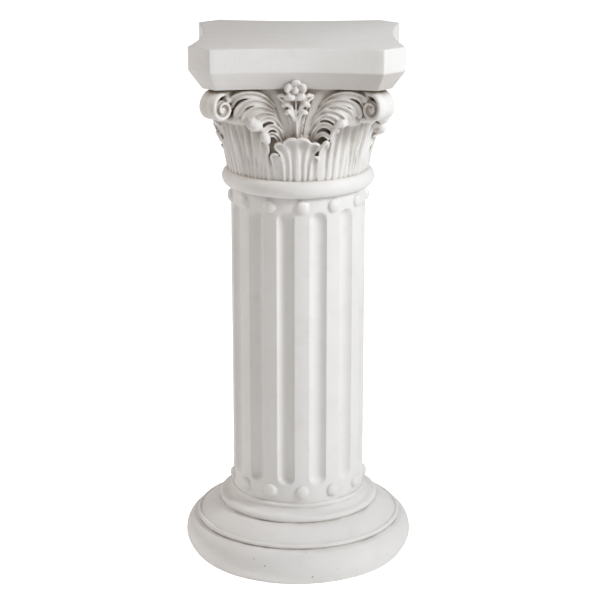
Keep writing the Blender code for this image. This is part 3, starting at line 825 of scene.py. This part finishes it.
def copies_round(tree, count, local=True):
    """Copies of the body that the tree is on, turned evenly round the upright axis."""
    single = tree.add("GeometryNodeGeometryToInstance", tree.start.outputs[0])
    copies = tree.add("GeometryNodeDuplicateElements", domain="INSTANCE")
    tree.feed(copies.inputs["Geometry"], single.outputs[0])
    tree.feed(copies.inputs["Amount"], count)
    fan = tree.add("GeometryNodeRotateInstances", copies.outputs["Geometry"])
    spin = tree.math("MULTIPLY", copies.outputs["Duplicate Index"], tree.math("DIVIDE", 2 * math.pi, count))
    tree.feed(fan.inputs["Rotation"], tree.add("ShaderNodeCombineXYZ", 0.0, 0.0, spin).outputs[0])
    tree.feed(fan.inputs["Local Space"], local)
    return fan.outputs[0]


flower = new_object("petals", petal_mesh())
tree = Tree("petals_round_a_knob")
flower = tree.finish(flower, copies_round(tree, tree.size("Petals", petal_count)), resin)
knob = turned("knob", [(knob_radius * share, rise) for share, rise in knob_profile], knob_points)
flower_seat = top_width / 2 - side_hollow - bevel_inset + flower_proud
for mesh in (flower.data, knob):
    for vertex in mesh.vertices:
        x, y, z = vertex.co
        vertex.co = (x - flower_shift, -flower_seat - z, capital_top + y)
    face_carving.append(mesh)
bpy.data.objects.remove(flower)


# Corner scrolls
# A wide band rolls over under each cut corner and winds in to an eye on both sides. A rounded strand
# runs out of the spray over each side of it.
scroll_reach = 0.1530
scroll_radii = (0.0245, 0.0186, 0.0143, 0.0132, 0.0100, 0.0078, 0.0052)
scroll_bands = (0.0062, 0.0058, 0.0048, 0.0042, 0.0038, 0.0034, 0.0030)
scroll_width = 0.0310
scroll_turns = 1.5
scroll_recess = 0.0052
scroll_drop = 0.0030
scroll_lead = 0.0300
scroll_overlap = 0.002
scroll_eye = 0.0034
scroll_steps = 96
scroll_lead_steps = 6
core_points = 40
strand_steps = 24
strand_sides = 16
strand_inset = 0.80
band_half_points = 12
band_roll = 0.0014
band_round = 0.0020
band_ripple = 0.0005
core_share = 0.86
core_soft = 0.02
eye_recess_share = 0.4
eye_soft = 0.06
strand_radius = 0.0080
strand_path = ((-0.040, 0.0165), (-0.026, 0.0170), (-0.0140, 0.0150), (-0.0060, 0.0105))
corner_out = place(math.pi / 4, 1.0, 0.0)
corner_axis = Vector((math.cos(math.pi / 4), math.sin(math.pi / 4), 0.0))
upwards = Vector((0, 0, 1))
scroll_middle = corner_out * scroll_reach + upwards * (capital_top - scroll_drop - scroll_radii[0])


def scroll_band_mesh():
    """Band that runs out over the corner, down and inwards; its quarter turns are in scroll_radii."""
    rings = []
    section = []
    for i in range(2 * band_half_points + 1):
        u = -1 + i / band_half_points
        rolls = band_roll * math.sin(math.pi * min(1.0, abs(u))) ** 2
        rounded = band_round * max(0.0, (abs(u) - 0.82) / 0.18) ** 2
        section.append((u, rolls - rounded - band_ripple * math.cos(6 * math.pi * u) * (1 - u * u), 0.0))
    section += [(1.0, 0.0, 0.35), (0.98, 0.0, 0.80), (0.90, 0.0, 1.0), (-0.90, 0.0, 1.0), (-0.98, 0.0, 0.80),
                (-1.0, 0.0, 0.35)]
    for i in range(-scroll_lead_steps, scroll_steps + 1):
        share = max(0.0, i / scroll_steps)
        angle = math.pi / 2 - share * scroll_turns * 2 * math.pi
        radius = float(through([(r,) for r in scroll_radii], share)[0])
        band = between(scroll_bands, share)
        normal = corner_out * math.cos(angle) + upwards * math.sin(angle)
        spot = normal * radius
        if i < 0:
            spot = (upwards * (radius + (scroll_drop + scroll_overlap) * -i / scroll_lead_steps)
                    - corner_out * scroll_lead * -i / scroll_lead_steps)
        half = scroll_width / 2 * (1 - 0.03 * share)
        fade = max(0.0, 1 - share * 2)
        rings.append([scroll_middle + spot + corner_axis * u * half + normal * (lift * fade - depth * band)
                      for u, lift, depth in section])
    return closed_mesh("scroll_band", rings)


def scroll_core_mesh(half, radius, soft):
    """Plain round core across the scroll, which closes the space between its turns."""
    rings = []
    circle = [corner_out * math.cos(turn) + upwards * math.sin(turn) for turn in full_turn(core_points)]
    for side, share in ((-1.0, 0.6), (-1.0, 1.0 - soft), (-1.0 + soft, 1.0),
                        (1.0 - soft, 1.0), (1.0, 1.0 - soft), (1.0, 0.6)):
        middle = scroll_middle + corner_axis * side * half
        rings.append([middle + spoke * radius * share for spoke in circle])
    return closed_mesh("scroll_core", rings)


def scroll_strand_mesh(side):
    """Rounded strand that runs from the spray over one side of the scroll and ends above its eye."""
    rings = []
    spots = [through(strand_path, i / strand_steps) for i in range(strand_steps + 1)]
    for i, (out, up) in enumerate(spots):
        ahead = spots[min(i + 1, strand_steps)] - spots[max(i - 1, 0)]
        across = (corner_out * -ahead[1] + upwards * ahead[0]).normalized()
        radius = strand_radius * math.sqrt(max(0.02, 1 - (i / strand_steps) ** 8))
        centre = scroll_middle + corner_out * out + upwards * up
        centre += corner_axis * side * (scroll_width / 2 - strand_radius * strand_inset)
        rings.append([centre + (across * math.cos(turn) + corner_axis * math.sin(turn)) * radius
                      for turn in full_turn(strand_sides)])
    return closed_mesh("scroll_strand", rings)


face_carving.append(scroll_band_mesh())
for side in (-1, 1):
    face_carving.append(scroll_strand_mesh(side))
for recess, radius, soft in ((scroll_recess, scroll_radii[2] * core_share, core_soft),
                             (scroll_recess * eye_recess_share, scroll_eye, eye_soft)):
    face_carving.append(scroll_core_mesh(scroll_width / 2 - recess, radius, soft))


# Carved capital
# The carving of one face is repeated on all four. Bell, leaves, sprays and scrolls run together softly,
# as they do in a cast.
skin_size = 0.0009
carving_faces = 116000
soft_passes = 2
face_count = 4


def merged(name, meshes):
    form = bmesh.new()
    for mesh in meshes:
        form.from_mesh(mesh)
    mesh = bpy.data.meshes.new(name)
    form.to_mesh(mesh)
    form.free()
    return new_object(name, mesh)


quarter = merged("capital", face_carving)
tree = Tree("four_faces")
round_axis = copies_round(tree, tree.size("Faces", face_count), False)
whole = tree.add("GeometryNodeJoinGeometry")
bell_form = tree.add("GeometryNodeObjectInfo")
tree.feed(bell_form.inputs["Object"], bell)
for form in (round_axis, bell_form.outputs["Geometry"]):
    tree.feed(whole.inputs[0], form)
capital = tree.finish(quarter, whole.outputs[0], resin)
bpy.data.objects.remove(bell)

cast_skin = capital.modifiers.new("cast_skin", "REMESH")
cast_skin.mode = "VOXEL"
cast_skin.voxel_size = skin_size
cast_skin.adaptivity = 0.0
soften = capital.modifiers.new("soften", "SMOOTH")
soften.factor = 0.5
soften.iterations = soft_passes
plain(capital)
print("capital skin faces", len(capital.data.polygons))
fewer = capital.modifiers.new("fewer_faces", "DECIMATE")
fewer.ratio = min(1.0, carving_faces / (2 * len(capital.data.polygons)))
plain(capital)
print("capital faces", len(capital.data.polygons))


# The casting
# All of it is poured in one mould, so base, shaft, beads, ring, capital and square top are one skin of
# antique-white resin. Shade is painted into its creases and the carving's recesses, the bevel is darker
# towards the right, the pinholes in the base are painted as spots of shade, and a light scratch marks the
# fascia.
smooth_turn = math.radians(48)
casting = base
casting.name = "pedestal_cast"
parts = [shaft, beads, neck_ring, square_top, capital]
for other in parts:
    union = casting.modifiers.new("join_" + other.name, "BOOLEAN")
    union.operation = "UNION"
    union.object = other
    union.solver = "MANIFOLD"
plain(casting)
for other in parts:
    bpy.data.objects.remove(other)
casting.data.name = "pedestal_cast"
casting.data.materials.clear()
casting.data.materials.append(resin)
for face in casting.data.polygons:
    face.use_smooth = True
casting.data.set_sharp_from_angle(angle=smooth_turn)
casting.data.calc_loop_triangles()
print("casting triangles", len(casting.data.loop_triangles))

resin_white = (0.842, 0.824, 0.806, 1.0)
mottle_white = (0.815, 0.792, 0.772, 1.0)
speck_grey = (0.735, 0.700, 0.675, 1.0)
stain_tan = (0.710, 0.660, 0.600, 1.0)
bevel_grey = (0.580, 0.540, 0.510, 1.0)
carving_shade_brown = (0.370, 0.315, 0.260, 1.0)
base_crease_shade_grey = (0.560, 0.510, 0.475, 1.0)
crease_shade_grey = (0.360, 0.305, 0.250, 1.0)
pinhole_shade_and_scratch_grey = (0.160, 0.140, 0.125, 1.0)
crease_reach = 0.007
carving_reach = 0.034
base_reach = 0.018
streak_squash = (1.0, 1.0, 6.0)
# Pinholes in the base, painted as near-black spots of shade where the holes would be: place and radius.
pits = ((-0.0451, -0.1600, 0.0302, 0.0013), (0.0222, -0.1634, 0.0147, 0.0011),
        (0.0230, -0.1637, 0.0158, 0.0011), (0.0585, -0.1562, 0.0236, 0.0008),
        (-0.0609, -0.1523, 0.0375, 0.0009), (0.0130, -0.1548, 0.0482, 0.0008))
pit_strength = 0.85
scratch_foot = (-0.0973, -0.1421, 0.7361)
scratch_head = (-0.0919, -0.1411, 0.7453)
scratch_marks = 5
scratch_radius = 0.0009
scratch_strength = 0.16
grain_strength = 0.22
grain_depth = 0.0006
resin_sheen = 0.35
resin.use_nodes = True
shader = resin.node_tree.nodes["Principled BSDF"]


def node(kind, feeds=(), **settings):
    return wired(resin.node_tree, kind, feeds, **settings)


def spread(value, low, high, to_low=0.0, to_high=1.0):
    """Value moved from one range to another, and kept inside it."""
    return node("ShaderNodeMapRange", (("Value", value), ("From Min", low), ("From Max", high),
                                       ("To Min", to_low), ("To Max", to_high))).outputs["Result"]


def product(first, *others):
    for other in others:
        first = node("ShaderNodeMath", ((0, first), (1, other)), operation="MULTIPLY").outputs[0]
    return first


def cloud(scale, detail, low, high, to_low, to_high, on=None):
    """Noise on the object's own coordinates, spread over a range."""
    noise = node("ShaderNodeTexNoise", (("Vector", on or where), ("Scale", scale), ("Detail", detail)))
    return spread(noise.outputs["Fac"], low, high, to_low, to_high)


def creases(reach, open_shade, closed_shade):
    """How deep a place lies in a crease of about the given size: 0 on open ground."""
    shade = node("ShaderNodeAmbientOcclusion", (("Distance", reach),), samples=8, only_local=True)
    return spread(shade.outputs["AO"], open_shade, closed_shade)


where = node("ShaderNodeTexCoord").outputs["Object"]
directions = node("ShaderNodeSeparateXYZ", ((0, where),))
sideways = directions.outputs["X"]
level = directions.outputs["Z"]
squashed = node("ShaderNodeMapping", (("Vector", where), ("Scale", streak_squash))).outputs["Vector"]
carved_part = product(spread(level, capital_foot - 0.008, capital_foot + 0.004),
                      spread(level, capital_top + 0.004, capital_top - 0.002))
base_part = spread(level, base_height + 0.030, base_height)
bevel_part = product(spread(level, fascia_foot + 0.001, fascia_foot - 0.002),
                     spread(level, capital_top - 0.002, capital_top + 0.002))
layers = (
    (cloud(7.0, 3.0, 0.40, 0.62, 0.0, 1.0), mottle_white),
    (cloud(38.0, 5.0, 0.55, 0.75, 0.0, 0.35), speck_grey),
    (product(cloud(14.0, 4.0, 0.38, 0.62, 0.05, 0.38), carved_part), stain_tan),
    (product(bevel_part, spread(sideways, -0.09, 0.11, 0.0, 0.75)), bevel_grey),
    # Painted shade: the carving darkens in its recesses and under the square top, where shade falls.
    (product(creases(carving_reach, 0.78, 0.24), carved_part, cloud(30.0, 3.0, 0.35, 0.65, 0.70, 1.0)),
     carving_shade_brown),
    # Painted shade in the creases of the base mouldings, broken into streaks.
    (product(creases(base_reach, 0.93, 0.55), cloud(26.0, 5.0, 0.44, 0.64, 0.10, 0.85, squashed), base_part),
     base_crease_shade_grey),
    # Painted shade along the narrow creases and joints of the whole casting, stronger on the carving.
    (product(creases(crease_reach, 0.90, 0.30), cloud(45.0, 4.0, 0.36, 0.62, 0.25, 1.0),
             spread(carved_part, 0.0, 1.0, 0.30, 1.0)), crease_shade_grey))
# The pinhole spots are painted shade; the scratch is a faint darker line of wear.
spots = [((x, y, z), pit_radius, pit_strength) for x, y, z, pit_radius in pits]
for i in range(scratch_marks):
    mark = Vector(scratch_foot).lerp(Vector(scratch_head), i / (scratch_marks - 1))
    spots.append((mark, scratch_radius, scratch_strength))
for spot, radius, strength in spots:
    away = node("ShaderNodeVectorMath", ((0, where), (1, spot)), operation="DISTANCE").outputs["Value"]
    layers += ((spread(away, radius, radius * 0.5, 0.0, strength), pinhole_shade_and_scratch_grey),)
colour = resin_white
for amount, tint in layers:
    colour = node("ShaderNodeMix", ((0, amount), (6, colour), (7, tint)), data_type="RGBA").outputs[2]
grain = node("ShaderNodeBump", (("Height", cloud(420.0, 6.0, 0.30, 0.70, 0.0, 1.0)),
                                ("Strength", grain_strength), ("Distance", grain_depth)))
for slot, value in (("Base Color", colour), ("Roughness", cloud(120.0, 4.0, 0.35, 0.65, 0.52, 0.68)),
                    ("Metallic", 0.0), ("Specular IOR Level", resin_sheen),
                    ("Normal", grain.outputs["Normal"])):
    fed(resin.node_tree, shader.inputs[slot], value)

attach(casting, "root")
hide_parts("pedestal")


# Floor, light and camera
# Plain pale floor that runs into the white behind it. The key light stands on the right, a rim light
# behind on the left, and two weak lights fill in from the front and the back.
floor_reach = 60
floor_white = (0.93, 0.93, 0.93, 1.0)
floor_roughness = 0.9
floor_glow = 0.22
floor_glow_seen = 1.05
light_level = 0.45
light_aim = Vector((0, 0, 0.5))
lights = (("key", 60, 34, 2.2, 0.60, 32, (0.955, 1.0, 1.035)),
          ("rim", -106, 25, 3.0, 1.4, 30, (1.0, 0.96, 0.92)),
          ("front", -12, 46, 2.2, 1.2, 8, (1.0, 0.97, 0.95)),
          ("back", 160, 35, 3.0, 1.6, 10, (1.0, 1.0, 1.0)))
sky_colour = (1.0, 0.93, 0.86, 1.0)
sky_strength = 0.12
floor_corners = [(x * floor_reach, y * floor_reach, 0) for x, y in ((-1, -1), (1, -1), (1, 1), (-1, 1))]
floor_mesh = bpy.data.meshes.new("floor")
floor_mesh.from_pydata(floor_corners, [], [(0, 1, 2, 3)])
floor = new_object("floor", floor_mesh)
pale = bpy.data.materials.new("pale_floor")
pale.use_nodes = True
paint = pale.node_tree.nodes["Principled BSDF"]
seen = wired(pale.node_tree, "ShaderNodeLightPath").outputs["Is Camera Ray"]
glow = wired(pale.node_tree, "ShaderNodeMapRange", (("Value", seen), ("To Min", floor_glow),
                                                    ("To Max", floor_glow_seen)))
for slot, value in (("Base Color", floor_white), ("Roughness", floor_roughness),
                    ("Emission Color", (1.0, 1.0, 1.0, 1.0)), ("Emission Strength", glow.outputs["Result"])):
    fed(pale.node_tree, paint.inputs[slot], value)
floor.data.materials.append(pale)
for name, degrees, rise, distance, width, power, tint in lights:
    lamp = bpy.data.lights.new(name, "AREA")
    lamp.size = width
    lamp.energy = power
    lamp.color = tint
    holder = new_object(name, lamp)
    out = distance * math.cos(math.radians(rise))
    holder.location = place(math.radians(degrees), out, light_level + distance * math.sin(math.radians(rise)))
    holder.rotation_euler = (light_aim - holder.location).to_track_quat("-Z", "Y").to_euler()
world = bpy.data.worlds.new("studio")
bpy.context.scene.world = world
world.use_nodes = True
sky = world.node_tree.nodes["Background"]
sky.inputs["Color"].default_value = sky_colour
sky.inputs["Strength"].default_value = sky_strength
bpy.context.scene.view_settings.view_transform = "Standard"

camera_turn = math.radians(0.74)
camera_distance = 2.5505
camera_height = 1.1302
camera_pitch = math.radians(16.46)
camera_aside = math.radians(0.06)
lens = bpy.data.cameras.new("camera")
lens.sensor_width = 36.0
lens.lens = 110.15
camera = new_object("camera", lens)
camera.location = place(camera_turn, camera_distance, camera_height)
camera.rotation_euler = (math.pi / 2 - camera_pitch, 0.0, camera_turn - camera_aside)
bpy.context.scene.camera = camera
